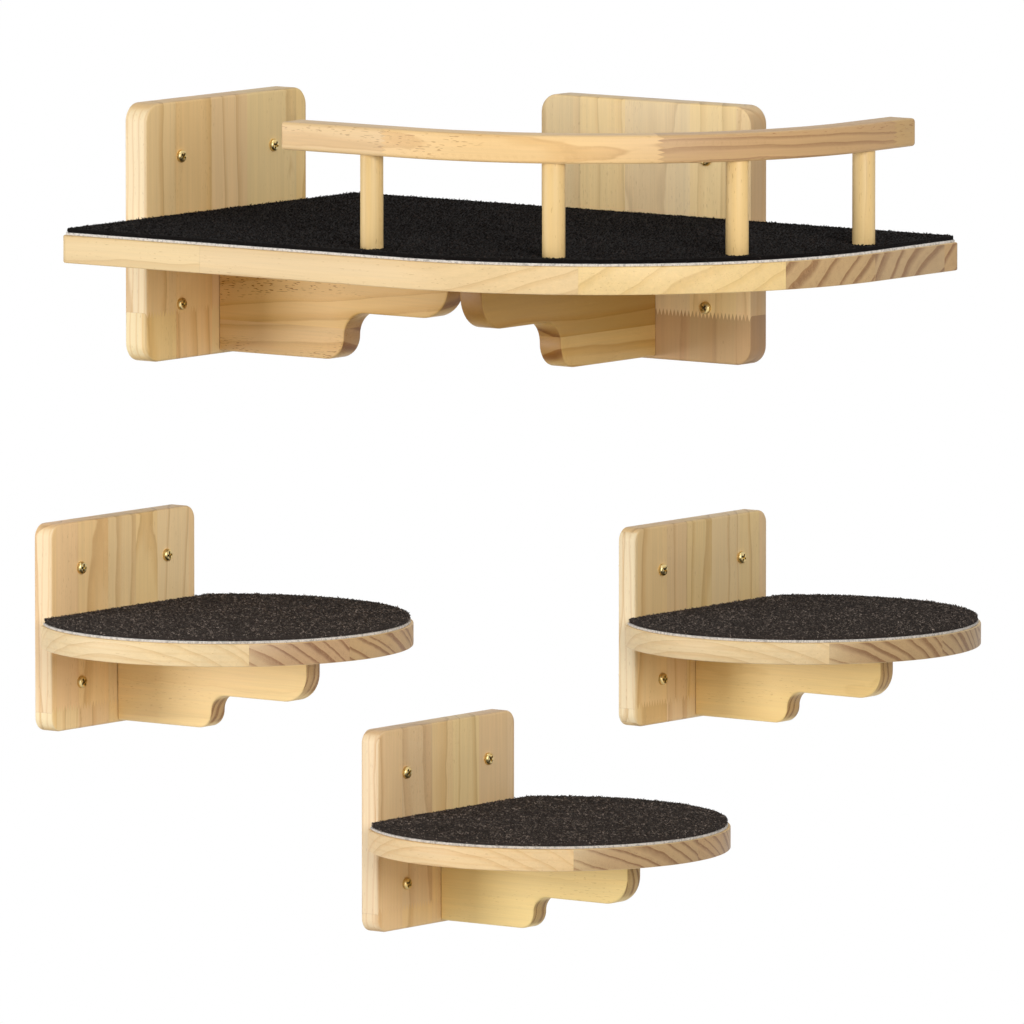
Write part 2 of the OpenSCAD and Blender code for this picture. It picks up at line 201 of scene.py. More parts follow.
class StageSettings(bpy.types.PropertyGroup):
    """Camera, lamps and floor."""

    azimuth: angle("Camera azimuth", "Turn of the camera from the end wall's normal", 37.0)
    elevation: angle("Camera elevation", "Height of the camera above the horizontal", 6.5)
    aim: bpy.props.FloatVectorProperty(
        name="Camera aim", description="Point in the middle of the picture",
        default=(0.1954, -0.0406, -0.1297), subtype="TRANSLATION", size=3,
    )
    distance: length("Camera distance", "Distance of the camera from its aim", 14.0)
    across: length("Picture width", "Width that the picture takes in", PICTURE_PIXELS / PIXELS_PER_METRE)
    floor: length("Floor height", "Height of the floor, below the set on its wall", -1.25)
    floor_size: length("Floor size", "Side of the square floor", 6.0)
    floor_grey: number("Floor grey", "How pale the floor is", 0.67)
    floor_glow: number("Floor glow", "How much paler the floor looks than it is lit", 0.2)
    lamp_distance: length("Lamp distance", "Distance of the lamps from the camera's aim", 3.6)
    ambient: number("Ambient", "Strength of the soft light all round", 0.28)
    key: number("Key lamp", "Power of the lamp beside the camera", 75.0, unit="POWER")
    fill: number("Fill lamp", "Power of the lamp to the left", 62.0, unit="POWER")
    top: number("Top lamp", "Power of the lamp above", 19.5, unit="POWER")


def settings(group):
    """The scene's own settings of one group."""
    return getattr(bpy.context.scene, "cat_shelf_" + group)


# Modelling by hand

def corners(node):
    """The low and the high corner of a CAD node's box."""
    return [Vector(corner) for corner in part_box(node)]


def at_height(point, height):
    """The place above or below a point, at a height."""
    return Vector((point.x, point.y, height))


def begin():
    """Leaves edit mode and deselects everything."""
    if bpy.context.mode != "OBJECT":
        bpy.ops.object.mode_set(mode="OBJECT")
    bpy.ops.object.select_all(action="DESELECT")


def take(piece):
    """Makes one piece the only selected one."""
    begin()
    piece.select_set(True)
    bpy.context.view_layer.objects.active = piece


def discard(piece):
    """Deletes a piece that has served its turn."""
    take(piece)
    bpy.ops.object.delete()


def settle(name):
    """Names the primitive just added and moves its place into its mesh."""
    piece = bpy.context.object
    piece.name = name
    piece.data.name = name
    bpy.ops.object.transform_apply(location=True, rotation=True, scale=True)
    return piece


def add_block(name, low, high):
    """A block between two corners."""
    begin()
    bpy.ops.mesh.primitive_cube_add(size=1.0, location=(low + high) / 2, scale=high - low)
    return settle(name)


def add_round(name, middle, radius, height, sides):
    """An upright round bar or disc."""
    begin()
    bpy.ops.mesh.primitive_cylinder_add(vertices=sides, radius=radius, depth=height, location=middle)
    return settle(name)


def edit(piece, mode="EDGE"):
    """Opens a piece in edit mode with nothing selected."""
    take(piece)
    bpy.ops.object.mode_set(mode="EDIT")
    bpy.ops.mesh.select_mode(type=mode)
    bpy.ops.mesh.select_all(action="DESELECT")


def pick(piece, kind, test):
    """Selects only the edges or faces of the open piece that pass a test."""
    bpy.ops.mesh.select_all(action="DESELECT")
    mesh = bmesh.from_edit_mesh(piece.data)
    found = [part for part in getattr(mesh, kind) if test(part)]
    if not found:
        raise RuntimeError(f"{piece.name}: nothing to shape among its {kind}")
    for part in found:
        part.select_set(True)
    bmesh.update_edit_mesh(piece.data)


def runs_along(edge, axis):
    """Whether an edge is parallel to an axis."""
    return abs((edge.verts[1].co - edge.verts[0].co).normalized().dot(axis)) > PARALLEL


def lies_at(edge, axis, place):
    """Whether both ends of an edge have one coordinate."""
    return all(abs(vertex.co.dot(axis) - place) < 10 * SAME for vertex in edge.verts)


def round_edges(radius, segments=CURVE_STEPS):
    """Rounds the selected edges."""
    bpy.ops.mesh.bevel(
        offset=radius, offset_type="OFFSET", segments=segments, affect="EDGES", clamp_overlap=False
    )


def ease_edges(piece, radius, segments=3, sharper_than=35.0):
    """Rounds every sharp edge of the open piece a little, and closes it."""
    bpy.ops.mesh.select_all(action="DESELECT")
    bpy.ops.mesh.edges_select_sharp(sharpness=math.radians(sharper_than))
    round_edges(radius, segments)
    bpy.ops.mesh.select_all(action="SELECT")
    bpy.ops.mesh.remove_doubles(threshold=SAME)
    bpy.ops.mesh.normals_make_consistent(inside=False)
    bpy.ops.object.mode_set(mode="OBJECT")


def join(pieces):
    """Joins pieces into the first one."""
    begin()
    for piece in pieces:
        piece.select_set(True)
    bpy.context.view_layer.objects.active = pieces[0]
    bpy.ops.object.join()
    return pieces[0]


def carve(piece, cutter):
    """Takes a cutter's volume out of a piece."""
    take(piece)
    bpy.ops.object.modifier_add(type="BOOLEAN")
    cut = piece.modifiers[-1]
    cut.operation = "DIFFERENCE"
    cut.solver = "EXACT"
    cut.object = cutter
    bpy.ops.object.modifier_apply(modifier=cut.name)
    discard(cutter)


def bore(start, way, radius, depth):
    """A straight hole, whose cutter stands proud at its start."""
    return start - way * OVERCUT, way, radius, radius, depth + OVERCUT


def countersink(start, way):
    """A tapered hole for the head of an assembly screw."""
    look = settings("screws")
    sizes = (size + look.gap for size in (look.joint_head, look.joint_shank, look.joint_depth))
    return start - way * 10 * SAME, way, *sizes


def cut_holes(piece, holes):
    """Cuts holes, each given by its start, way, radius at the start, radius at the end and depth."""
    cutters = []
    for start, way, wide, narrow, depth in holes:
        begin()
        bpy.ops.mesh.primitive_cone_add(
            vertices=SCREW_SIDES, radius1=wide, radius2=narrow, depth=depth,
            location=start + way * depth / 2, rotation=way.to_track_quat("Z", "Y").to_euler(),
        )
        cutters.append(bpy.context.object)
    carve(piece, join(cutters))


def store(piece, name, kind, values):
    """Writes one value for each point of a piece."""
    layer = piece.data.attributes.new(name, kind, "POINT")
    field = "vector" if kind == "FLOAT_VECTOR" else "value"
    for entry, value in zip(layer.data, values):
        setattr(entry, field, value)


def store_grain(piece, places, board):
    """Stores where each point lies in its board's grain, and the number of the board."""
    store(piece, "grain", "FLOAT_VECTOR", places)
    store(piece, "board", "FLOAT", [float(board)] * len(places))


def lay_grain(piece, along, across, board):
    """Lays straight grain: how far each point is along it, across it and through the board."""
    ways = (along, across, along.cross(across))
    points = [vertex.co for vertex in piece.data.vertices]
    low = Vector(min(point[axis] for point in points) for axis in range(3))
    high = Vector(max(point[axis] for point in points) for axis in range(3))
    middle = (low + high) / 2
    store_grain(piece, [[(point - middle).dot(way) for way in ways] for point in points], board)


def hand_over(piece, node, material, smooth_below=40.0):
    """Gives a finished piece its shading, its material and its place in the frame."""
    take(piece)
    bpy.ops.object.shade_smooth_by_angle(angle=math.radians(smooth_below))
    piece.data.materials.clear()
    piece.data.materials.append(material)
    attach(piece, "root")
    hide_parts(node)


# Node trees

class Value:
    """A number in a shader's tree; plain arithmetic with it adds the nodes that work it out."""

    def __init__(self, shader, socket):
        self.shader = shader
        self.socket = socket

    def __add__(self, other):
        return self.shader.math("ADD", self, other)

    def __sub__(self, other):
        return self.shader.math("SUBTRACT", self, other)

    def __rsub__(self, other):
        return self.shader.math("SUBTRACT", other, self)

    def __mul__(self, other):
        return self.shader.math("MULTIPLY", self, other)

    def __truediv__(self, other):
        return self.shader.math("DIVIDE", self, other)

    def __pow__(self, other):
        return self.shader.math("POWER", self, other)

    def __lt__(self, other):
        return self.shader.math("LESS_THAN", self, other)

    def __gt__(self, other):
        return self.shader.math("GREATER_THAN", self, other)

    def swing(self, reach):
        """Draws a value from 0 to 1 out to a reach on either side of 0."""
        return self * (2 * reach) - reach


class Nodes:
    """A node tree whose sockets are fed with links or plain values."""

    def __init__(self, tree, prefix=""):
        self.tree = tree
        self.prefix = prefix

    def feed(self, socket, value):
        if isinstance(value, Value):
            value = value.socket
        if isinstance(value, bpy.types.NodeSocket):
            self.tree.links.new(value, socket)
        else:
            socket.default_value = value

    def node(self, kind, feeds=None, **options):
        made = self.tree.nodes.new(self.prefix + kind)
        for option, value in options.items():
            setattr(made, option, value)
        for socket, value in (feeds or {}).items():
            self.feed(made.inputs[socket], value)
        return made


class Shader(Nodes):
    """A tree of shader nodes."""

    def __init__(self, tree):
        super().__init__(tree, "ShaderNode")

    def value(self, kind, feeds=None, output=0, **options):
        """One output of a new node."""
        return Value(self, self.node(kind, feeds, **options).outputs[output])

    def values(self, kind, feeds):
        """All outputs of a new node."""
        return [Value(self, socket) for socket in self.node(kind, feeds).outputs]

    def math(self, operation, *values):
        return self.value("Math", dict(enumerate(values)), operation=operation)

    def window(self, value, low, high):
        """A smooth rise from 0 at the low limit to 1 at the high one."""
        feeds = {"Value": value, "From Min": low, "From Max": high}
        return self.value("MapRange", feeds, interpolation_type="SMOOTHSTEP")

    def mix(self, share, *colours, how="MIX"):
        first, second = (
            tint if isinstance(tint, bpy.types.NodeSocket) else (*tint, 1.0) for tint in colours
        )
        return self.node("Mix", {0: share, 6: first, 7: second}, data_type="RGBA", blend_type=how).outputs[2]

    def vector(self, x, y, z):
        return self.node("CombineXYZ", {"X": x, "Y": y, "Z": z}).outputs[0]

    def noise(self, place, scale=1.0, detail=2.0, roughness=0.5):
        feeds = {"Vector": place, "Scale": scale, "Detail": detail, "Roughness": roughness}
        return self.value("TexNoise", feeds)

    def attribute(self, name, output="Fac"):
        return self.value("Attribute", output=output, attribute_name=name)

    def place(self):
        return self.node("TexCoord").outputs["Object"]

    def seen(self):
        """1 for what the camera sees, directly or by way of gloss and glass, and 0 for light on surfaces."""
        rays = self.node("LightPath").outputs
        seen = self.math("MAXIMUM", rays["Is Camera Ray"], rays["Is Glossy Ray"])
        return self.math("MAXIMUM", seen, rays["Is Transmission Ray"])


class Finish(Shader):
    """One procedural material."""

    def __init__(self, name):
        self.material = bpy.data.materials.new(name)
        self.material.use_nodes = True
        super().__init__(self.material.node_tree)
        self.skin = self.tree.nodes["Principled BSDF"]

    def coat(self, socket, value):
        self.feed(self.skin.inputs[socket], value)

    def bump(self, height, depth, strength):
        feeds = {"Height": height, "Distance": depth, "Strength": strength}
        self.coat("Normal", self.node("Bump", feeds).outputs[0])


# Materials

@dataclass
class Timber:
    """How a kind of board is cut and how its wood looks; lengths are in millimetres."""

    along: Vector  # Way of the grain
    thin: Vector  # Way through the board
    stave: float  # Width of the glued staves
    start: float  # Place of one glue line, across the grain
    joint: tuple  # Place of a finger joint along the grain, and the distance to the next
    heart: tuple  # Range of the middle of each stave's log, across the board and then through it
    ring: float  # Width of a growth ring
    wander: float  # How far the rings stray along the grain
    taper: float = 0.0  # How fast a log widens
    late_from: float = 0.5  # Where in a ring its late wood begins
    face: float = 0.3  # How strong the rings are on the long faces
    ends: float = 0.9  # How strong the rings are on the ends
    bold: bool = False  # Whether only the staves beyond the start show strong end grain
    cream: float = 0.0  # How strongly the narrow sides get a pale painted highlight
    edge: float = 0.0  # How brown the narrow sides are, as painted shade on sides turned from the lamps
    flecks: float = 0.45  # How strong the flecks are, and how many
    joins: float = 0.5  # Share of the staves with finger joints
    tips: tuple = (0.0, 0.0)  # How dark the lengths before the first joint and beyond the second are; painted shade on the end plate, partly a real tone and partly painted shade on the rail
    stain: float = 0.0  # How dark a length may be by chance; on the end bracket it is set high as painted shade
    rich: float = 1.0  # How strong the colour is
    yellow: float = 0.0  # Degrees by which the hue turns
    light: float = 1.0  # How light the wood is; darker on the end bracket as painted shade and lighter on the step brackets as painted light


class Pine(Finish):
    """Lacquered pine of glued staves with growth rings, flecks and finger joints."""

    # Waves along the grain, across it and through the board, then the noise's scale, detail and roughness
    NOISES = {
        "sway": (0.0045, 0.014, 0.014, 1.0, 2.0, 0.5),
        "ripple": (0.03, 0.09, 0.09, 1.0, 2.0, 0.5),
        "fibre": (0.018, 0.75, 0.75, 1.0, 4.0, 0.6),
        "streak": (0.004, 0.22, 0.22, 1.0, 3.0, 0.6),
        "cloud": (0.005, 0.03, 0.03, 1.0, 2.0, 0.5),
        "dash": (0.17, 1.0, 1.0, 1.2, 0.0, 0.5),
        "patch": (0.006, 0.035, 1.0, 1.0, 1.0, 0.5),
    }
    BOARDS_APART = 730.0  # Distance along the grain between one board and the next
    ROWS_APART = 17.0  # Numbers kept for the staves of each board
    UNEVEN = (0.12, 2.2, 1.7)  # How much the staves' widths vary, how fast, and how far on the next board is
    FINGER = (1.8, 3.2)  # Half the pitch of the fingers, and how many times longer they are
    RIPPLE = 1.2  # How far the rings stray in short waves
    PACE = (1.1, 0.7)  # How much the rings' widths vary, and how fast
    LOGS_APART = (31.0, 9.0)  # Rings between one log and another, for their widths and their start
    LATE_FULL = 0.88  # Where in a ring the late wood is darkest
    RING_LINE = (0.86, 0.95)  # Where in a ring the dark line begins, and where it is darkest
    LINE_SHARE = 0.5  # How strong the dark line is, as a share of the late wood
    FACING = (0.50, 0.85)  # Cosines from which, and past which, a surface faces an axis
    LAYER = (0.8, 0.4)  # How much the lines of the narrow sides stray, and how strong they are
    LAYER_LIMITS = (0.45, 0.95)  # Height of the wave at which such a line begins and is full
    DASH = (0.735, 0.80, 0.08)  # Noise at which a fleck begins and is full, and how far more flecks lower it
    PATCH = (0.48, 0.62)  # Noise at which a patch of flecks begins and is full
    GLUE_LINE = (0.8, 0.06)  # Width and strength of the line between two staves
    JOINT_LINE = (1.2, 0.16)  # Width and strength of the line between two lengths
    LENGTH_TONE = (0.07, 0.94)  # How much lighter some lengths are, and lightness of the darkest one
    SHADES = {"fibre": 0.08, "streak": 0.09, "cloud": 0.08}  # How much each noise lightens or darkens
    HUE_SWING, RICH_SWING = 0.007, 0.06  # How much hue and strength of colour vary
    GLOSS = (0.20, 0.38, 0.38)  # Roughness that the fibres add, the rest of it, and the specular level
    GROOVES = (0.0002, 0.10)  # Depth and strength of the fibres' relief

    def __init__(self, name, timber):
        super().__init__(name)
        self.timber = timber
        self.tones = settings("pine")
        self.board = self.attribute("board")
        grain = self.values("SeparateXYZ", {"Vector": self.attribute("grain", "Vector")})
        self.run, self.side, self.deep = (place * MM for place in grain)
        self.far = self.board * self.BOARDS_APART + self.run
        self.lay_staves()
        self.grow_rings()
        self.lacquer(self.marked(self.ringed()))

    def grain_noise(self, name):
        """Noise drawn out along the grain."""
        along, across, through, *rest = self.NOISES[name]
        return self.noise(self.vector(self.far * along, self.side * across, self.deep * through), *rest)

    def lay_staves(self):
        """Staves of uneven width, some of them with finger joints; each length has its own chances."""
        timber = self.timber
        vary, pace, apart = self.UNEVEN
        row = (self.side - timber.start) / timber.stave
        phase = self.board * apart
        sway = self.math("SINE", row * pace + phase) - self.math("SINE", phase)
        self.row = row + sway * vary
        self.row_part = self.math("FRACT", self.row)
        row_number = self.board * self.ROWS_APART + self.math("FLOOR", self.row)
        row_chance = self.value("TexWhiteNoise", {"W": row_number}, "Value", noise_dimensions="1D")
        self.joined = row_chance < timber.joins
        half_pitch, longer = self.FINGER
        first, spacing = timber.joint
        finger = self.math("PINGPONG", self.side, half_pitch) * longer
        self.stretch = (self.run + finger - first) / spacing
        key = self.vector(row_number, self.math("FLOOR", self.stretch) * self.joined, 0.5)
        chance = self.node("TexWhiteNoise", {"Vector": key}, noise_dimensions="3D").outputs
        self.luck = Value(self, chance["Value"])
        self.chances = self.values("SeparateColor", {"Color": chance["Color"]})

    def grow_rings(self):
        """Growth rings about the heart of each log: their late wood, and the line where a ring ends."""
        timber = self.timber
        first, second, third = self.chances
        side_low, side_high, deep_low, deep_high = timber.heart
        heart_side = first * (side_high - side_low) + side_low
        heart_deep = second * (deep_high - deep_low) + deep_low
        across = self.row_part * timber.stave - timber.stave / 2 - heart_side
        through = self.deep - heart_deep
        radius = self.math("SQRT", across * across + through * through)
        wave = self.grain_noise("sway").swing(timber.wander) + third.swing(timber.taper) * self.run
        self.wave = wave + self.grain_noise("ripple").swing(self.RIPPLE)
        turns = (radius + self.wave) / timber.ring
        vary, pace = self.PACE
        widths_apart, starts_apart = self.LOGS_APART
        feeds = {"W": third * widths_apart + turns, "Scale": pace}
        turns = turns + self.value("TexNoise", feeds, noise_dimensions="1D") * vary
        part = self.math("FRACT", third * starts_apart + turns)
        fall = 1.0 - self.window(part, self.RING_LINE[1], 1.0)
        self.late = self.window(part, timber.late_from, self.LATE_FULL) * fall
        self.line = self.window(part, *self.RING_LINE) * fall

    def facing(self, axis):
        """How squarely the surface faces an axis."""
        normal = self.node("TexCoord").outputs["Normal"]
        cosine = self.value("VectorMath", {0: normal, 1: axis}, "Value", operation="DOT_PRODUCT")
        return self.window(self.math("ABSOLUTE", cosine), *self.FACING)

    def ringed(self):
        """Wood with its rings: broad and brown where it is cut across, a faint amber on the long faces; pale
        narrow sides are a painted highlight, brown ones painted shade.
        """
        timber, tones = self.timber, self.tones
        end = self.facing(timber.along)
        narrow = (1.0 - self.facing(timber.thin)) * (1.0 - end)
        # Painted highlight: the narrow sides are paled.
        painted_glare = narrow * timber.cream
        cut = end * (self.row > 0.0) if timber.bold else end
        contrast = cut * (timber.ends - timber.face) + timber.face
        ground = self.mix(cut * timber.ends, tones.pale, tones.tan)
        ground = self.mix(painted_glare, ground, tones.cream)
        # Painted shade: narrow sides browned on boards whose sides turn from the lamps.
        ground = self.mix(narrow * timber.edge, ground, tones.tan)
        band = self.mix(cut, tones.amber, tones.brown)
        tint = self.mix(self.late * contrast, ground, band)
        tint = self.mix(self.line * contrast * self.LINE_SHARE, tint, tones.line)
        stray, strength = self.LAYER
        layer = self.window(self.math("SINE", self.wave * stray + self.deep), *self.LAYER_LIMITS)
        return self.mix(layer * painted_glare * strength, tint, tones.amber)

    def seam(self, part, length, width, strength):
        """Thin line at both ends of a length, along which the part runs from 0 to 1."""
        from_middle = self.math("ABSOLUTE", part * 2.0 - 1.0)
        return self.window(from_middle, 1.0 - width / length, 1.0) * strength

    def marked(self, tint):
        """Wood with its flecks, glue lines and darker lengths, some of which are painted shade."""
        timber, tones = self.timber, self.tones
        begins, full, lower = self.DASH
        lower *= timber.flecks
        dash = self.window(self.grain_noise("dash"), begins - lower, full - lower)
        fleck = dash * self.window(self.grain_noise("patch"), *self.PATCH)
        tint = self.mix(fleck * timber.flecks, tint, tones.fleck)
        glue = self.seam(self.row_part, timber.stave, *self.GLUE_LINE)
        butt = self.seam(self.math("FRACT", self.stretch), timber.joint[1], *self.JOINT_LINE)
        tint = self.mix(self.math("MAXIMUM", glue, butt * self.joined), tint, tones.line)
        # Darker lengths: a random tone, and on some boards painted shade.
        dark = self.luck * timber.stain
        before, beyond = timber.tips
        for tip in ((self.stretch < 0.0) * before, (self.stretch > 1.0) * beyond):
            dark = self.math("MAXIMUM", dark, tip * self.joined)
        return self.mix(dark, tint, tones.stain, how="MULTIPLY")

    def lacquer(self, tint):
        """Gives each length its tone, and the surface its fibres and gloss."""
        timber = self.timber
        _, second, third = self.chances
        lighter, darkest = self.LENGTH_TONE
        shade = third * lighter + darkest
        noises = {name: self.grain_noise(name) for name in self.SHADES}
        for name, reach in self.SHADES.items():
            shade = shade + noises[name].swing(reach)
        toned = self.node("HueSaturation", {
            "Hue": second.swing(self.HUE_SWING) + (0.5 + timber.yellow / 360.0),
            "Saturation": third.swing(self.RICH_SWING) + timber.rich,
            "Value": shade * timber.light,
            "Color": tint,
        })
        rough, smooth, specular = self.GLOSS
        self.coat("Base Color", toned.outputs[0])
        self.coat("Roughness", noises["fibre"] * rough + smooth)
        self.coat("Specular IOR Level", specular)
        self.bump(noises["fibre"], *self.GROOVES)


def pine(name, timber, **changes):
    """A pine material for a timber, with the changes that one board has."""
    return Pine(name, replace(timber, **changes)).material


CLUMP_SCALE, CLUMP_DETAIL = 230.0, 2.0  # Noise that gathers the tufts into clumps
CLUMP_LIMITS = (0.36, 0.66)  # Noise between two clumps and within one


def pile(name, base, speck):
    """Short cut pile: every tuft has its own shade, a few fibres are light, and painted light and shade make
    the clumps lighter and the gaps between them darker.
    """
    cloth = Finish(name)
    shade = cloth.attribute("tuft_shade")
    place = cloth.place()
    clump = cloth.window(cloth.noise(place, CLUMP_SCALE, CLUMP_DETAIL), *CLUMP_LIMITS)
    # Wear patches, lighter on the clumps and darker between them: painted light and shade among the tufts.
    wear_and_clump_shade = cloth.noise(place, scale=38.0, detail=3.0) * (clump * 1.3 + 0.35)
    fuzz = cloth.noise(place, scale=900.0, detail=3.0, roughness=0.7)
    tint = cloth.mix(shade ** 3.0 * (wear_and_clump_shade * 1.3 - 0.05), base, speck)
    tint = cloth.mix(cloth.window(fuzz, low=0.55, high=0.75) * 0.35, tint, speck)
    cloth.coat("Base Color", tint)
    cloth.coat("Roughness", 1.0)
    cloth.coat("Specular IOR Level", 0.03)
    cloth.coat("Sheen Weight", 0.03)
    cloth.coat("Sheen Roughness", 0.6)
    cloth.bump(fuzz, depth=0.0006, strength=0.5)
    return cloth.material


def backing_weave(name):
    """Pale woven backing with its threads and a few dark fibres."""
    cloth = Finish(name)
    look = settings("carpet")
    place = cloth.place()
    weave = {"Vector": place, "Scale": 260.0, "Distortion": 1.5}
    warp, weft = (cloth.value("TexWave", weave, "Fac", bands_direction=way) for way in ("X", "Y"))
    threads = warp * weft
    fray = cloth.noise(place, scale=420.0, detail=3.0, roughness=0.7)
    dark = cloth.mix(0.55, look.backing, look.charcoal)
    tint = cloth.mix(threads * 0.25, look.backing, dark)
    tint = cloth.mix(cloth.window(fray, low=0.46, high=0.62) * 0.75, tint, dark)
    cloth.coat("Base Color", tint)
    cloth.coat("Roughness", 0.95)
    cloth.bump(threads + fray, depth=0.0005, strength=0.6)
    return cloth.material


def yellow_zinc(name):
    """Yellow zinc plate with greenish patches, fine wear and painted shade in the recess."""
    metal = Finish(name)
    look = settings("screws")
    place = metal.place()
    patch = metal.noise(place, scale=240.0, detail=3.0, roughness=0.6)
    scuff = metal.noise(place, scale=1600.0, detail=2.0, roughness=0.6)
    recess = metal.attribute("recess")
    tint = metal.mix(metal.window(patch, low=0.42, high=0.64), look.zinc, look.zinc_green)
    # Painted shade: the cross recess is tinted dark.
    metal.coat("Base Color", metal.mix(recess, tint, look.recess_shade))
    metal.coat("Metallic", 1.0)
    metal.coat("Roughness", scuff * 0.25 + 0.20 + recess * 0.3)
    metal.bump(scuff, depth=0.0001, strength=0.15)
    return metal.material


# Boards

def plate_axes(unit):
    """A unit's wall plate: its thin axis, its axis across, and the way out of the wall."""
    thin = 1 if unit == "perch_end" else 0
    return thin, 1 - thin, -OUT_Y if thin else OUT_X


def screw_places(unit, kind, head):
    """Where a unit's wall or bracket screws cross the wall, from the box that holds their heads."""
    _, across, _ = plate_axes(unit)
    low, high = corners(f"{unit}_{kind}_screws")
    places = []
    for column in sorted({round(low[across] + head, 4), round(high[across] - head, 4)}):
        for height in (low.z + head, high.z - head):
            place = Vector((0, 0, height))
            place[across] = column
            places.append(place)
    return places


class CATSHELF_OT_wall_plates(bpy.types.Operator):
    """Builds the five wall plates with round corners, eased edges and their screw holes"""

    bl_idname = "cat_shelf.wall_plates"
    bl_label = "Wall plates"

    def holes(self, unit, thickness):
        """Four holes for the wall screws, and countersinks behind for the bracket's screws."""
        look = settings("screws")
        out = plate_axes(unit)[2]
        for place in screw_places(unit, "wall", look.wall_head):
            yield bore(place, out, look.wall_hole, thickness + OVERCUT)
        for place in screw_places(unit, "bracket", look.joint_head):
            yield countersink(place, out)

    def execute(self, context):
        sizes = settings("boards")
        timber = Timber(
            UP, OUT_X, stave=52.0, start=-20.0, joint=(-62.0, 330.0), heart=(-110.0, 110.0, 30.0, 80.0),
            ring=21.0, wander=9.0, taper=0.05, late_from=0.6, ends=0.35, flecks=0.32,
        )
        # The pale narrow sides of the side and step plates are a painted highlight.
        pines = {
            "perch_side": pine("side_plate_pine", timber, face=0.4, cream=0.8, rich=1.03, light=1.12),
            # The end plate's dark lower length and brown narrow sides are painted shade, from the platform
            # above and from the sides turned away from the lamps.
            "perch_end": pine(
                "end_plate_pine", timber, thin=OUT_Y, edge=0.8, rich=0.94, light=1.14, joins=1.0,
                tips=(0.9, 0.0),
            ),
        }
        step_pine = pine(
            "step_plate_pine", timber, stave=34.0, ring=13.0, late_from=0.66, face=0.42, cream=0.75,
            rich=0.98, light=1.16, stain=0.22, joins=0.8,
        )
        for board, unit in enumerate(PERCH_SIDES + STEPS):
            node = f"{unit}_plate"
            low, high = corners(node)
            thin, across, _ = plate_axes(unit)
            plate = add_block(f"{node}_board", low, high)
            edit(plate)
            pick(plate, "edges", lambda edge: runs_along(edge, AXES[thin]))
            round_edges(sizes.perch_plate_corner if unit in PERCH_SIDES else sizes.step_plate_corner)
            ease_edges(plate, sizes.plate_edge)
            cut_holes(plate, self.holes(unit, high[thin] - low[thin]))
            lay_grain(plate, UP, AXES[across], board)
            hand_over(plate, node, pines.get(unit, step_pine))
        return {"FINISHED"}


class CATSHELF_OT_brackets(bpy.types.Operator):
    """Builds the five curved brackets from a bar, a lobe drawn down from it and round edges"""

    bl_idname = "cat_shelf.brackets"
    bl_label = "Brackets"

    FIRST_BOARD = 11
    SLACK = 0.99  # Share of a radius that leaves room for the next curve

    def shape(self, node, kind, out):
        sizes = settings("brackets")
        drop, lobe, nose, cove, tip = (
            getattr(sizes, f"{kind}_{word}") for word in ("drop", "lobe", "nose", "cove", "tip")
        )
        low, high = corners(node)
        back, front = sorted((low.dot(out), high.dot(out)))
        lobe_end = back + lobe
        arm_under = low.z + drop
        bar = add_block(f"{node}_board", at_height(low, arm_under), high)
        edit(bar, "FACE")
        bpy.ops.mesh.select_all(action="SELECT")
        bpy.ops.mesh.bisect(plane_co=out * lobe_end, plane_no=out)
        pick(bar, "faces", lambda face: (
            face.normal.z < -SQUARE and face.calc_center_median().dot(out) < lobe_end
        ))
        bpy.ops.mesh.extrude_region_move(TRANSFORM_OT_translate={"value": (0, 0, -drop)})
        bpy.ops.mesh.select_mode(type="EDGE")
        for place, height, radius in (
            (front, arm_under, tip),
            (lobe_end, low.z, nose * self.SLACK),
            (lobe_end, arm_under, cove * self.SLACK),
        ):
            pick(bar, "edges", lambda edge: (
                runs_along(edge, out.cross(UP)) and lies_at(edge, out, place) and lies_at(edge, UP, height)
            ))
            round_edges(radius)
        ease_edges(bar, settings("boards").bracket_edge)
        return bar

    def execute(self, context):
        perch = Timber(
            OUT_X, OUT_Y, stave=200.0, start=-18.0, joint=(-400.0, 900.0), heart=(-12.0, 12.0, 26.0, 36.0),
            ring=19.0, wander=9.0, taper=0.16, face=0.38,
        )
        # The step brackets are made lighter as painted light, standing in for light under the treads.
        step = Timber(
            OUT_X, OUT_Y, stave=200.0, start=-100.0, joint=(-400.0, 900.0),
            heart=(-20.0, 20.0, 120.0, 160.0), ring=7.0, wander=3.0, face=0.13, ends=1.0, flecks=0.3,
            rich=1.03, yellow=4.0, light=1.22,
        )
        # The end bracket is darker and both perch brackets richer in colour: painted shade under the
        # platform.
        pines = {
            "perch_side": pine("side_bracket_pine", perch, flecks=1.0, rich=1.1, stain=0.15),
            "perch_end": pine(
                "end_bracket_pine", perch, along=OUT_Y, thin=OUT_X, flecks=0.3, rich=1.18, light=0.84,
                stain=1.0,
            ),
        }
        step_pine = pine("step_bracket_pine", step)
        for number, unit in enumerate(PERCH_SIDES + STEPS):
            node = f"{unit}_bracket"
            thin, _, out = plate_axes(unit)
            bar = self.shape(node, "perch" if unit in PERCH_SIDES else "step", out)
            lay_grain(bar, AXES[thin], UP, self.FIRST_BOARD + number)
            hand_over(bar, node, pines.get(unit, step_pine))
        return {"FINISHED"}


# Decks and their carpets share outlines

LEAST_CORNER = 0.001


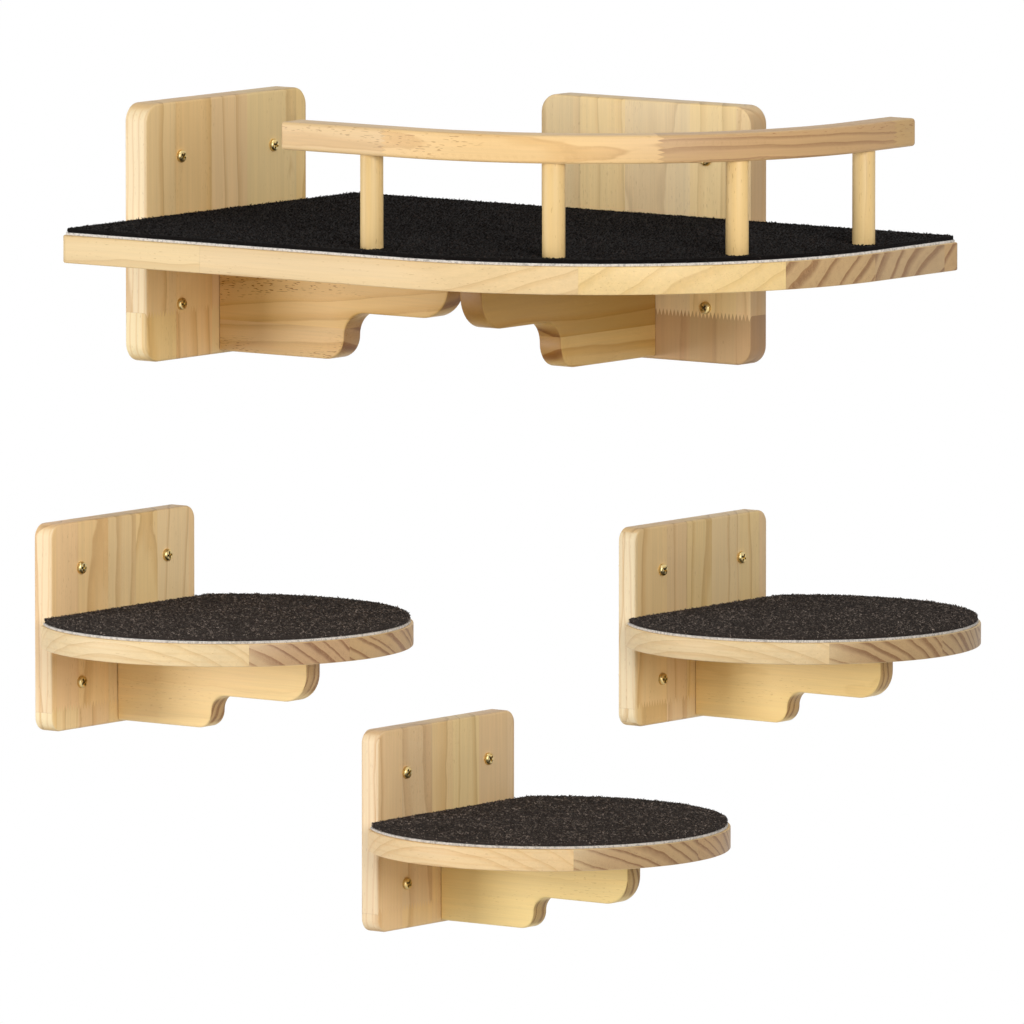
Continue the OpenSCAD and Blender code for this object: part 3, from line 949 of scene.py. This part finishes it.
def platform_slab(name, low, high, margin):
    """A slab of the platform's outline, drawn in by a margin and left open in edit mode."""
    sizes = settings("boards")
    inset = Vector((margin, margin, 0))
    low, high = low + inset, high - inset
    slab = add_block(name, low, high)
    edit(slab)
    small = max(sizes.platform_small_corner - margin, LEAST_CORNER)
    for places, radius, segments in (
        ([(high.x, low.y)], sizes.platform_corner - margin, LARGE_CORNER_STEPS),
        ([(low.x, low.y), (low.x, high.y), (high.x, high.y)], small, SMALL_CORNER_STEPS),
    ):
        pick(slab, "edges", lambda edge: runs_along(edge, UP) and any(
            lies_at(edge, OUT_X, x) and lies_at(edge, OUT_Y, y) for x, y in places
        ))
        round_edges(radius, segments)
    return slab


def platform_area(flat):
    """Area of the platform's carpet."""
    corner = settings("boards").platform_corner - settings("carpet").margin
    return flat[0] * flat[1] - corner ** 2 * (1 - math.pi / 4)


def tread_slab(name, low, high, margin):
    """A disc with a tread's straight back, drawn in by a margin and left open in edit mode."""
    radius = (high.y - low.y) / 2
    middle = Vector((high.x - radius, (low.y + high.y) / 2, (low.z + high.z) / 2))
    disc = add_round(name, middle, radius - margin, high.z - low.z, TREAD_SIDES)
    edit(disc, "FACE")
    bpy.ops.mesh.select_all(action="SELECT")
    bpy.ops.mesh.bisect(plane_co=(low.x + margin, 0, 0), plane_no=OUT_X, use_fill=True, clear_inner=True)
    bpy.ops.mesh.select_mode(type="EDGE")
    return disc


def tread_area(flat):
    """Area of a tread's carpet."""
    radius = flat[1] / 2
    past = flat[0] - radius
    return radius ** 2 * (math.pi - math.acos(past / radius)) + past * math.sqrt(radius ** 2 - past ** 2)


def post_places():
    """Foot and head of every rail post's middle line, with its radius."""
    for post in POSTS:
        low, high = corners(post)
        middle = (low + high) / 2
        yield at_height(middle, low.z), at_height(middle, high.z), (high.x - low.x) / 2


class CATSHELF_OT_decks(bpy.types.Operator):
    """Builds the platform with its large round corner and post sockets, and the three round treads"""

    bl_idname = "cat_shelf.decks"
    bl_label = "Platform and treads"

    FIRST_BOARD = 21

    def execute(self, context):
        sizes = settings("boards")
        gap = settings("screws").gap
        # The pale narrow rims of the platform and treads are a painted highlight.
        platform_pine = pine("platform_pine", Timber(
            OUT_X, UP, stave=105.0, start=-18.0, joint=(-158.0, 700.0), heart=(150.0, 170.0, -190.0, -170.0),
            ring=16.0, wander=8.0, taper=0.03, ends=0.85, bold=True, cream=0.08, light=0.95,
        ))
        tread_pine = pine("tread_pine", Timber(
            OUT_X, UP, stave=90.0, start=-105.0, joint=(-300.0, 600.0),
            heart=(-170.0, -150.0, -250.0, -230.0), ring=8.5, wander=4.0, taper=0.03, bold=True,
            cream=0.35, flecks=0.3,
        ))
        low, high = corners("perch_platform")
        platform = platform_slab("perch_platform_board", low, high, 0.0)
        ease_edges(platform, sizes.deck_edge)
        holes = []
        for foot, _, radius in post_places():
            holes.append(bore(at_height(foot, high.z), -UP, radius + gap, high.z - foot.z))
            holes.append(countersink(at_height(foot, low.z), UP))
        cut_holes(platform, holes)
        lay_grain(platform, OUT_X, OUT_Y, self.FIRST_BOARD)
        hand_over(platform, "perch_platform", platform_pine)
        for number, step in enumerate(STEPS, start=1):
            node = f"{step}_tread"
            tread = tread_slab(f"{node}_board", *corners(node), 0.0)
            ease_edges(tread, sizes.deck_edge)
            lay_grain(tread, OUT_X, OUT_Y, self.FIRST_BOARD + number)
            hand_over(tread, node, tread_pine)
        return {"FINISHED"}


class CATSHELF_OT_guard_rail(bpy.types.Operator):
    """Builds the curved guard rail: a straight front, a quarter turn and a straight side"""

    bl_idname = "cat_shelf.guard_rail"
    bl_label = "Guard rail"

    BOARD = 41
    GRAIN_ABOVE = 0.2  # Keeps the rail clear of its one glue line
    TURN_STEPS = 56

    def execute(self, context):
        sizes = settings("boards")
        gap = settings("screws").gap
        deck_low, deck_high = corners("perch_platform")
        low, high = corners("guard_rail")
        turn = Vector((deck_high.x - sizes.platform_corner, deck_low.y + sizes.platform_corner, 0))
        rail = add_block("guard_rail_bar", low, Vector((turn.x, low.y + sizes.rail_width, high.z)))
        edit(rail, "FACE")
        pick(rail, "faces", lambda face: face.normal.x > SQUARE)
        bpy.ops.mesh.spin(steps=self.TURN_STEPS, angle=math.pi / 2, center=turn, axis=-UP)
        bpy.ops.mesh.extrude_region_move(TRANSFORM_OT_translate={"value": (0, high.y - turn.y, 0)})
        bpy.ops.mesh.select_all(action="SELECT")
        bpy.ops.mesh.remove_doubles(threshold=SAME)
        bpy.ops.mesh.normals_make_consistent(inside=False)
        bpy.ops.mesh.select_mode(type="EDGE")
        ease_edges(rail, sizes.rail_edge, segments=4)
        cut_holes(rail, [
            bore(at_height(head, low.z), UP, radius + gap, head.z - low.z)
            for _, head, radius in post_places()
        ])
        self.bend_grain(rail, turn, low, (low.z + high.z) / 2)
        # The darker length beyond the rail's second joint is partly the joint's real tone and partly painted
        # shade on the end turned from the lamps.
        hand_over(rail, "guard_rail", pine("rail_pine", Timber(
            OUT_X, Vector(), stave=400.0, start=0.0, joint=(-14.0, 220.0), heart=(-60.0, 60.0, 40.0, 90.0),
            ring=8.0, wander=9.0, taper=0.04, face=0.32, ends=0.42, flecks=0.6, joins=1.0, tips=(0.1, 0.55),
            light=0.98,
        )))
        return {"FINISHED"}

    def bend_grain(self, rail, turn, low, level):
        """Lets the grain follow the rail: the run along it, the height and the place across its width."""
        middle_line = turn.y - low.y - settings("boards").rail_width / 2
        quarter = middle_line * math.pi / 2
        places = []
        for vertex in rail.data.vertices:
            point = vertex.co - turn
            if point.x < 0:
                run, off = point.x, -point.y - middle_line
            elif point.y > 0:
                run, off = quarter + point.y, point.x - middle_line
            else:
                run = math.atan2(point.x, -point.y) * middle_line
                off = math.hypot(point.x, point.y) - middle_line
            places.append((run, vertex.co.z - level + self.GRAIN_ABOVE, off))
        store_grain(rail, places, self.BOARD)


class CATSHELF_OT_posts(bpy.types.Operator):
    """Builds the four turned rail posts with chamfered ends"""

    bl_idname = "cat_shelf.posts"
    bl_label = "Rail posts"

    FIRST_BOARD = 31

    def execute(self, context):
        material = pine("post_pine", Timber(
            UP, Vector(), stave=200.0, start=-100.0, joint=(-400.0, 900.0), heart=(-40.0, 40.0, 40.0, 90.0),
            ring=12.0, wander=5.0, face=0.18, rich=1.06, light=0.94,
        ))
        for number, (foot, head, radius) in enumerate(post_places()):
            node = POSTS[number]
            post = add_round(f"{node}_dowel", (foot + head) / 2, radius, head.z - foot.z, POST_SIDES)
            edit(post)
            ease_edges(post, settings("boards").post_edge, segments=2)
            lay_grain(post, UP, OUT_X, self.FIRST_BOARD + number)
            hand_over(post, node, material, smooth_below=50.0)
        return {"FINISHED"}


# Carpets

UNDERSIDE = -0.5  # Faces that look further down than this bear no tufts
TUFTS_TRIED = 1.6  # Tufts tried in each square of the spacing


def tuft_nodes(name, spacing, seed, material):
    """Geometry nodes that set small leaning tufts on the top and the rim of a slab."""
    look = settings("carpet")
    tree = bpy.data.node_groups.new(name, "GeometryNodeTree")
    for way in ("INPUT", "OUTPUT"):
        tree.interface.new_socket("Geometry", in_out=way, socket_type="NodeSocketGeometry")
    node = Nodes(tree).node

    def chance(kind, low, high, number):
        made = node("FunctionNodeRandomValue", data_type=kind)
        sockets = [socket for socket in made.inputs if socket.enabled]
        for socket, value in zip(sockets, (low, high)):
            socket.default_value = value
        made.inputs["Seed"].default_value = number
        return next(socket for socket in made.outputs if socket.enabled)

    start = node("NodeGroupInput").outputs[0]
    normal = node("GeometryNodeInputNormal").outputs[0]
    upward = node("ShaderNodeSeparateXYZ", {0: normal}).outputs["Z"]
    shown = node("ShaderNodeMath", {0: upward, 1: UNDERSIDE}, operation="GREATER_THAN").outputs[0]
    densest = TUFTS_TRIED / spacing ** 2
    spread = node("GeometryNodeDistributePointsOnFaces", {
        "Mesh": start, "Selection": shown, "Distance Min": spacing, "Density Max": densest, "Seed": seed,
    }, distribute_method="POISSON").outputs
    tuft = node("GeometryNodeMeshCone", {
        "Vertices": 3, "Radius Top": 0.0, "Radius Bottom": look.tuft_radius, "Depth": look.tuft_length,
    }, fill_type="NONE")
    clump = node("ShaderNodeTexNoise", {"Scale": CLUMP_SCALE, "Detail": CLUMP_DETAIL}).outputs[0]
    between, within = CLUMP_LIMITS
    clump = node("ShaderNodeMapRange", {
        "Value": clump, "From Min": between, "From Max": within, "To Min": 0.55, "To Max": 1.2,
    }).outputs[0]
    uneven = chance("FLOAT_VECTOR", (0.75, 0.75, 0.7), (1.35, 1.35, 1.25), seed + 1)
    uneven = node("ShaderNodeVectorMath", {0: uneven, "Scale": clump}, operation="SCALE").outputs[0]
    copies = node("GeometryNodeInstanceOnPoints", {
        "Points": spread["Points"], "Instance": tuft.outputs["Mesh"], "Rotation": spread["Rotation"],
        "Scale": uneven,
    })
    lean = chance("FLOAT_VECTOR", (0.8, -0.4, 0.0), (1.42, 0.4, 6.28), seed + 2)
    leaning = node("GeometryNodeRotateInstances", {"Instances": copies.outputs[0], "Rotation": lean})
    shaded = node("GeometryNodeStoreNamedAttribute", {
        "Geometry": leaning.outputs[0], "Name": "tuft_shade", "Value": chance("FLOAT", 0.0, 1.0, seed + 3),
    }, data_type="FLOAT", domain="INSTANCE")
    loose = node("GeometryNodeRealizeInstances", {"Geometry": shaded.outputs[0]})
    whole = node("GeometryNodeJoinGeometry")
    tree.links.new(start, whole.inputs[0])
    tree.links.new(loose.outputs[0], whole.inputs[0])
    dyed = node("GeometryNodeSetMaterial", {"Geometry": whole.outputs[0], "Material": material})
    tree.links.new(dyed.outputs[0], node("NodeGroupOutput").inputs[0])
    return tree


def add_tufts(slab, spacing, seed, material):
    """Covers a finished slab with tufts and applies them."""
    take(slab)
    bpy.ops.object.modifier_add(type="NODES")
    tufts = slab.modifiers[-1]
    tufts.node_group = tuft_nodes(f"{slab.name}_tufts", spacing, seed, material)
    bpy.ops.object.modifier_apply(modifier=tufts.name)


class CATSHELF_OT_carpets(bpy.types.Operator):
    """Builds the four carpets: a woven backing laid on each board, and its pile of short tufts"""

    bl_idname = "cat_shelf.carpets"
    bl_label = "Carpets"

    FIRST_SEED, SEEDS_APART = 5, 10
    BACKING_EDGE, PILE_EDGE = 0.0004, 0.0009  # Rounding along the edges of the two layers

    def slab(self, node, name, board, outline, margin, lower, edge):
        """One layer of a carpet, with its eased edges and the holes for the posts."""
        low, high = corners(node)
        board_low, board_high = corners(board)
        slab = outline(name, at_height(board_low, low.z), at_height(board_high, high.z - lower), margin)
        ease_edges(slab, edge, segments=2)
        if board == "perch_platform":
            gap = settings("carpet").post_gap
            cut_holes(slab, [
                bore(at_height(foot, low.z), UP, radius + gap, high.z - low.z + OVERCUT)
                for foot, _, radius in post_places()
            ])
        return slab

    def lay(self, unit, board, outline, area_of, spacing, seed, slot, material, weave):
        look = settings("carpet")
        backing_node, pile_node = (f"{unit}_carpet_{layer}" for layer in ("backing", "pile"))
        backing = self.slab(
            backing_node, f"{unit}_backing_sheet", board, outline, look.margin, 0.0, self.BACKING_EDGE
        )
        tufted = self.slab(
            pile_node, f"{unit}_pile_sheet", board, outline, look.margin + look.pile_margin, look.pile_cover,
            self.PILE_EDGE,
        )
        add_tufts(tufted, spacing, seed, material)
        hand_over(backing, backing_node, weave)
        hand_over(tufted, pile_node, material, smooth_below=80.0)
        low, high = corners(backing_node)
        flat = (high.x - low.x, high.y - low.y)
        area = area_of(flat)

    def execute(self, context):
        look = settings("carpet")
        weave = backing_weave("carpet_weave")
        black = pile("black_tufts", look.black, look.black_speck)
        charcoal = pile("charcoal_tufts", look.charcoal, look.charcoal_speck)
        self.lay("perch", "perch_platform", platform_slab, platform_area, look.perch_spacing,
                 self.FIRST_SEED, "black_pile", black, weave)
        for number, step in enumerate(STEPS, start=1):
            seed = self.FIRST_SEED + self.SEEDS_APART * number
            self.lay(step, f"{step}_tread", tread_slab, tread_area, look.step_spacing, seed,
                     "charcoal_pile", charcoal, weave)
        return {"FINISHED"}


# Screws

THREAD_STEPS = 12  # Segments of one turn of the thread


def add_thread(top, bottom, core, ridge, pitch):
    """A helical ridge round a screw's core, from a diamond profile turned by a Screw modifier."""
    begin()
    bpy.ops.mesh.primitive_circle_add(
        vertices=4, radius=ridge, fill_type="NOTHING", location=(core, 0, top), rotation=(math.pi / 2, 0, 0)
    )
    thread = settle("thread")
    bpy.ops.object.modifier_add(type="SCREW")
    wind = thread.modifiers[-1]
    wind.screw_offset = -pitch
    wind.iterations = int((top - bottom) / pitch)
    wind.steps = wind.render_steps = THREAD_STEPS
    bpy.ops.object.modifier_apply(modifier=wind.name)
    edit(thread)
    bpy.ops.mesh.select_all(action="SELECT")
    bpy.ops.mesh.fill_holes(sides=4)
    bpy.ops.mesh.normals_make_consistent(inside=False)
    bpy.ops.object.mode_set(mode="OBJECT")
    return thread


class CATSHELF_OT_screws(bpy.types.Operator):
    """Models each kind of screw once, with its head, cross recess and thread, and copies it to its places"""

    bl_idname = "cat_shelf.screws"
    bl_label = "Screws"

    TURN = 0.9  # Turn of a screw past the one before it, in radians
    PAN_DOME, JOINT_RIM = 0.6, 0.0002  # Share of a pan head that is domed, and rounding of a flat head's rim
    PAN_RIDGE, JOINT_RIDGE = 0.6, 0.9  # Height of the threads, as a share of the shank's step
    POINT_WIDTH = 0.1  # Share of the core's width that is left at the point
    BARE = 0.001  # Length of core above the first thread

    def model(self, pan, smooth, length):
        """An upright screw, point down; a pan head sits above the origin, a countersunk one below."""
        look = settings("screws")
        kind = "wall" if pan else "joint"
        radius, shank, core = (getattr(look, f"{kind}_{part}") for part in ("head", "shank", "core"))
        height = look.wall_height if pan else look.joint_depth
        top = height if pan else 0.0
        under = top - height
        step = shank - core
        screw = add_round("screw", (0, 0, top - height / 2), radius, height, SCREW_SIDES)
        edit(screw, "FACE")
        pick(screw, "faces", lambda face: face.normal.z < -SQUARE)
        if pan:
            bpy.ops.mesh.inset(thickness=radius - shank)
        else:
            bpy.ops.transform.resize(value=(shank / radius, shank / radius, 1))
        for drop, width in (
            (smooth, 1.0), (step, core / shank), (length - smooth - step - look.point, 1.0),
            (look.point, self.POINT_WIDTH),
        ):
            bpy.ops.mesh.extrude_region_move(TRANSFORM_OT_translate={"value": (0, 0, -drop)})
            bpy.ops.transform.resize(value=(width, width, 1))
        bpy.ops.mesh.select_mode(type="EDGE")
        pick(screw, "edges", lambda edge: lies_at(edge, UP, top))
        round_edges(height * self.PAN_DOME if pan else self.JOINT_RIM, SMALL_CORNER_STEPS)
        bpy.ops.object.mode_set(mode="OBJECT")
        reach = Vector((look.recess, look.recess_width / 2, look.recess_depth))
        for half in (reach, reach.yxz):
            carve(screw, add_block("recess", UP * top - half, UP * top + half))
        ridge = step * (self.PAN_RIDGE if pan else self.JOINT_RIDGE)
        bottom = under - length + look.point
        screw = join([screw, add_thread(under - smooth - self.BARE, bottom, core, ridge, look.pitch)])
        near = 1e-4
        # Marks the points inside the cross recess, which the zinc material paints dark as shade.
        store(screw, "recess", "FLOAT", [
            float(math.hypot(vertex.co.x, vertex.co.y) < look.recess + near
                  and -look.recess_depth - near < vertex.co.z - top < -2 * near)
            for vertex in screw.data.vertices
        ])
        return screw

    def plant(self, screw, node, places, into, zinc):
        """Copies a screw to its places and joins the copies, each turned a little further than the last."""
        copies = []
        for number, place in enumerate(places):
            take(screw)
            bpy.ops.object.duplicate(linked=False)
            copy = bpy.context.object
            turn = into.to_track_quat("-Z", "Y") @ Quaternion(UP, self.TURN * number + len(node))
            copy.rotation_euler = turn.to_euler()
            copy.location = place
            copies.append(copy)
        join(copies)
        hand_over(settle(f"{node}_zinc"), node, zinc, smooth_below=32.0)

    def execute(self, context):
        look = settings("screws")
        zinc = yellow_zinc("yellow_zinc_plate")
        patterns = {}

        def pattern(pan, smooth, length):
            key = (pan, round(smooth, 4), round(length, 4))
            if key not in patterns:
                patterns[key] = self.model(*key)
            return patterns[key]

        for unit in PERCH_SIDES + STEPS:
            thin, _, out = plate_axes(unit)
            plate_low, plate_high = corners(f"{unit}_plate")
            thickness = (plate_high - plate_low)[thin]
            for kind, head in (("wall", look.wall_head), ("bracket", look.joint_head)):
                node = f"{unit}_{kind}_screws"
                low, high = corners(node)
                whole = (high - low)[thin]
                places = screw_places(unit, kind, head)
                if kind == "wall":
                    screw = pattern(True, thickness - self.BARE, whole - look.wall_height)
                    self.plant(screw, node, [place + out * thickness for place in places], -out, zinc)
                else:
                    screw = pattern(False, thickness - look.joint_depth, whole - look.joint_depth)
                    self.plant(screw, node, places, out, zinc)
        low, high = corners("rail_post_screws")
        screw = pattern(False, look.post_smooth, high.z - low.z - look.joint_depth)
        feet = [at_height(foot, low.z) for foot, _, _ in post_places()]
        self.plant(screw, "rail_post_screws", feet, UP, zinc)
        for screw in patterns.values():
            discard(screw)
        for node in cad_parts:
            if node.endswith(("_tread_screws", "_platform_screws")):
                hidden = bpy.data.objects[node]
                hidden.data.materials.clear()
                hidden.data.materials.append(zinc)
        return {"FINISHED"}


# Stage

def direction(azimuth, elevation):
    """Unit vector towards a place at an azimuth and elevation, seen from the set."""
    level = math.cos(elevation)
    return Vector((math.sin(azimuth) * level, -math.cos(azimuth) * level, math.sin(elevation)))


def turn_to(thing, target):
    """Points a lamp or camera at a target."""
    thing.rotation_euler = (target - thing.location).to_track_quat("-Z", "Y").to_euler()


class CATSHELF_OT_stage(bpy.types.Operator):
    """Sets the floor, the soft studio light, the white surroundings and the camera"""

    bl_idname = "cat_shelf.stage"
    bl_label = "Stage"

    WHITE = (1.0, 1.0, 1.0, 1.0)
    FLOOR_MIDDLE = (0.3, -0.3)
    FADE = (0.16, 0.48)  # Where the floor begins to fade and where it is white, as shares of its size
    MOTTLE = (6.0, 3.0, 0.02)  # Scale, detail and strength of the floor's faint mottling

    def floor(self, stage):
        """A pale floor that keeps the set's shadow and fades into the surroundings."""
        middle = Vector((*self.FLOOR_MIDDLE, stage.floor))
        begin()
        bpy.ops.mesh.primitive_plane_add(size=stage.floor_size, location=middle)
        floor = settle("studio_floor")
        paint = Finish("pale_floor")
        place = paint.place()
        scale, detail, strength = self.MOTTLE
        grey = paint.noise(place, scale, detail) * strength + stage.floor_grey
        paint.coat("Base Color", paint.node("CombineColor", {0: grey, 1: grey, 2: grey}).outputs[0])
        paint.coat("Roughness", 0.9)
        paint.coat("Emission Color", self.WHITE)
        away = paint.node("VectorMath", {0: place, 1: middle}, operation="DISTANCE").outputs["Value"]
        fade = paint.window(away, *(stage.floor_size * share for share in self.FADE))
        glow = fade * (1.0 - stage.floor_glow) + stage.floor_glow
        paint.coat("Emission Strength", paint.seen() * glow)
        floor.data.materials.append(paint.material)
        floor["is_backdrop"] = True

    def surroundings(self, stage):
        """White to the eye, and a soft light all round."""
        world = bpy.data.worlds.new("studio")
        bpy.context.scene.world = world
        world.use_nodes = True
        air = Shader(world.node_tree)
        sky = air.tree.nodes["Background"].inputs
        air.feed(sky["Color"], self.WHITE)
        air.feed(sky["Strength"], air.seen() * (1.0 - stage.ambient) + stage.ambient)

    def lamp(self, name, place, size, power, aim):
        begin()
        bpy.ops.object.light_add(type="AREA", location=place)
        lamp = bpy.context.object
        lamp.name = name
        lamp.data.size = size
        lamp.data.energy = power
        lamp.visible_camera = False
        turn_to(lamp, aim)

    def camera(self, stage, aim):
        begin()
        bpy.ops.object.camera_add(location=aim + direction(stage.azimuth, stage.elevation) * stage.distance)
        camera = bpy.context.object
        camera.name = "photo_camera"
        turn_to(camera, aim)
        camera.data.sensor_width = SENSOR_MM
        camera.data.lens = SENSOR_MM * stage.distance / stage.across
        camera.data.clip_end = 100.0
        bpy.context.scene.camera = camera

    def execute(self, context):
        stage = settings("stage")
        aim = Vector(stage.aim)
        self.floor(stage)
        self.surroundings(stage)
        for name, towards, size, power in (
            ("key_lamp", (0.79, -0.55, 0.26), 1.4, stage.key),
            ("side_lamp", (-0.62, -0.78, 0.05), 1.6, stage.fill),
            ("top_lamp", (0.10, -0.25, 0.96), 1.6, stage.top),
        ):
            self.lamp(name, aim + Vector(towards).normalized() * stage.lamp_distance, size, power, aim)
        self.camera(stage, aim)
        context.scene.view_settings.view_transform = "Standard"
        return {"FINISHED"}


OPERATORS = (
    CATSHELF_OT_wall_plates, CATSHELF_OT_brackets, CATSHELF_OT_decks, CATSHELF_OT_guard_rail,
    CATSHELF_OT_posts, CATSHELF_OT_carpets, CATSHELF_OT_screws, CATSHELF_OT_stage,
)


class CATSHELF_PT_panel(bpy.types.Panel):
    """Lists the steps that build the shelf set"""

    bl_idname = "CATSHELF_PT_panel"
    bl_label = "Cat shelf"
    bl_space_type = "VIEW_3D"
    bl_region_type = "UI"
    bl_category = "Cat shelf"

    def draw(self, context):
        for operator in OPERATORS:
            self.layout.operator(operator.bl_idname)


GROUPS = {
    "boards": BoardSizes, "brackets": BracketSizes, "pine": PineColours, "carpet": CarpetLook,
    "screws": ScrewLook, "stage": StageSettings,
}
CLASSES = (*GROUPS.values(), *OPERATORS, CATSHELF_PT_panel)


def register():
    for kind in CLASSES:
        bpy.utils.register_class(kind)
    for group, kind in GROUPS.items():
        setattr(bpy.types.Scene, "cat_shelf_" + group, bpy.props.PointerProperty(type=kind))


def unregister():
    for group in GROUPS:
        delattr(bpy.types.Scene, "cat_shelf_" + group)
    for kind in reversed(CLASSES):
        bpy.utils.unregister_class(kind)


def main():
    register()
    for operator in OPERATORS:
        group, name = operator.bl_idname.split(".")
        getattr(getattr(bpy.ops, group), name)()
    begin()
    boxes = {"cad": CAD_BOX, "visual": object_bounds()}
    {name: [list(map(float, corner)) for corner in box] for name, box in boxes.items()}


if __name__ == "__main__":
    main()
